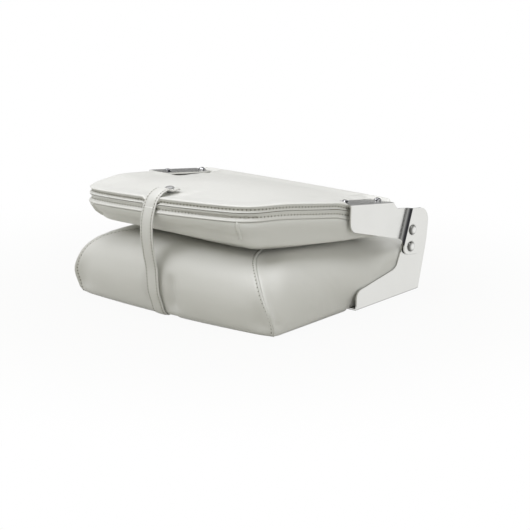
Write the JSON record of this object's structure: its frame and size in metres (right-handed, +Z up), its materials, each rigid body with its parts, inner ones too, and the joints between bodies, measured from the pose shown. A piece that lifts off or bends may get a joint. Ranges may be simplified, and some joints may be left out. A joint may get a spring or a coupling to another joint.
{
  "type": "folding boat seat",
  "caption": "Low-back folding boat seat: padded vinyl seat and backrest on riveted steel brackets, folded down and held shut by a snap strap.",
  "frame": {"origin": "centre of the bounding box's underside, in the plane of the bracket feet, folded shut", "axes": "-Y towards the seat's front edge, +Y towards the hinge line, +Z up from the mounting surface, +X to the right as seen from in front; left and right in node names are as seen from in front"},
  "size_m": [0.4454, 0.4242, 0.1993],
  "materials": {
    "marine_vinyl": "satin",
    "polyurethane_foam": "matte",
    "plywood": "matte",
    "stainless_plate": "polished",
    "stainless_rivet": "polished",
    "stainless_screw": "satin",
    "zinc_plated_insert": "satin",
    "vinyl_strap": "satin",
    "nickel_plated_snap": "polished",
    "zip_nylon": "satin"
  },
  "bodies": {
    "seat": {"seat_base_board": "plywood", "seat_foam": "polyurethane_foam", "seat_center_cover": "marine_vinyl", "seat_side_cover_left": "marine_vinyl", "seat_side_cover_right": "marine_vinyl", "bracket_left": "stainless_plate", "bracket_right": "stainless_plate", "bracket_screw_left_1": "stainless_screw", "bracket_screw_left_2": "stainless_screw", "bracket_screw_left_3": "stainless_screw", "bracket_screw_right_1": "stainless_screw", "bracket_screw_right_2": "stainless_screw", "bracket_screw_right_3": "stainless_screw", "pivot_rivet_left": "stainless_rivet", "pivot_rivet_right": "stainless_rivet", "hinge_washer_left": "stainless_rivet", "hinge_washer_right": "stainless_rivet", "pedestal_insert_1": "zinc_plated_insert", "pedestal_insert_2": "zinc_plated_insert", "pedestal_insert_3": "zinc_plated_insert", "pedestal_insert_4": "zinc_plated_insert", "strap_tail": "vinyl_strap", "strap_screw": "stainless_screw"},
    "backrest": {"back_front_cover": "marine_vinyl", "back_rear_cover": "marine_vinyl", "zip_flap_lower": "marine_vinyl", "zip_flap_upper": "marine_vinyl", "back_front_foam": "polyurethane_foam", "back_rear_padding": "polyurethane_foam", "back_board": "plywood", "back_arm_left": "stainless_plate", "back_arm_right": "stainless_plate", "stop_rivet_left": "stainless_rivet", "stop_rivet_right": "stainless_rivet", "arm_screw_1": "stainless_screw", "arm_screw_2": "stainless_screw", "arm_screw_3": "stainless_screw", "arm_screw_4": "stainless_screw", "back_insert_1": "zinc_plated_insert", "back_insert_2": "zinc_plated_insert", "back_insert_3": "zinc_plated_insert", "back_insert_4": "zinc_plated_insert", "snap_stud": "nickel_plated_snap", "zip_chain": "zip_nylon", "zip_pull": "zip_nylon"},
    "strap": {"strap": "vinyl_strap", "snap_cap": "nickel_plated_snap", "snap_socket": "nickel_plated_snap"}
  },
  "joints": [
    {"name": "backrest_hinge", "type": "hinge", "parent": "seat", "child": "backrest", "pos_m": [0, 0.1641, 0.077], "axis": [-1, 0, 0], "range_deg": [0, 95], "deforming": ["strap", "snap_cap", "snap_socket"]},
    {"name": "strap_swing", "type": "hinge", "parent": "seat", "child": "strap", "pos_m": [-0.008, -0.1721, 0.0014], "axis": [1, 0, 0], "range_deg": [0, 70]}
  ],
  "couplings": [
    {"joint": "strap_swing", "follows": "backrest_hinge", "ratio": 0.7}
  ]
}
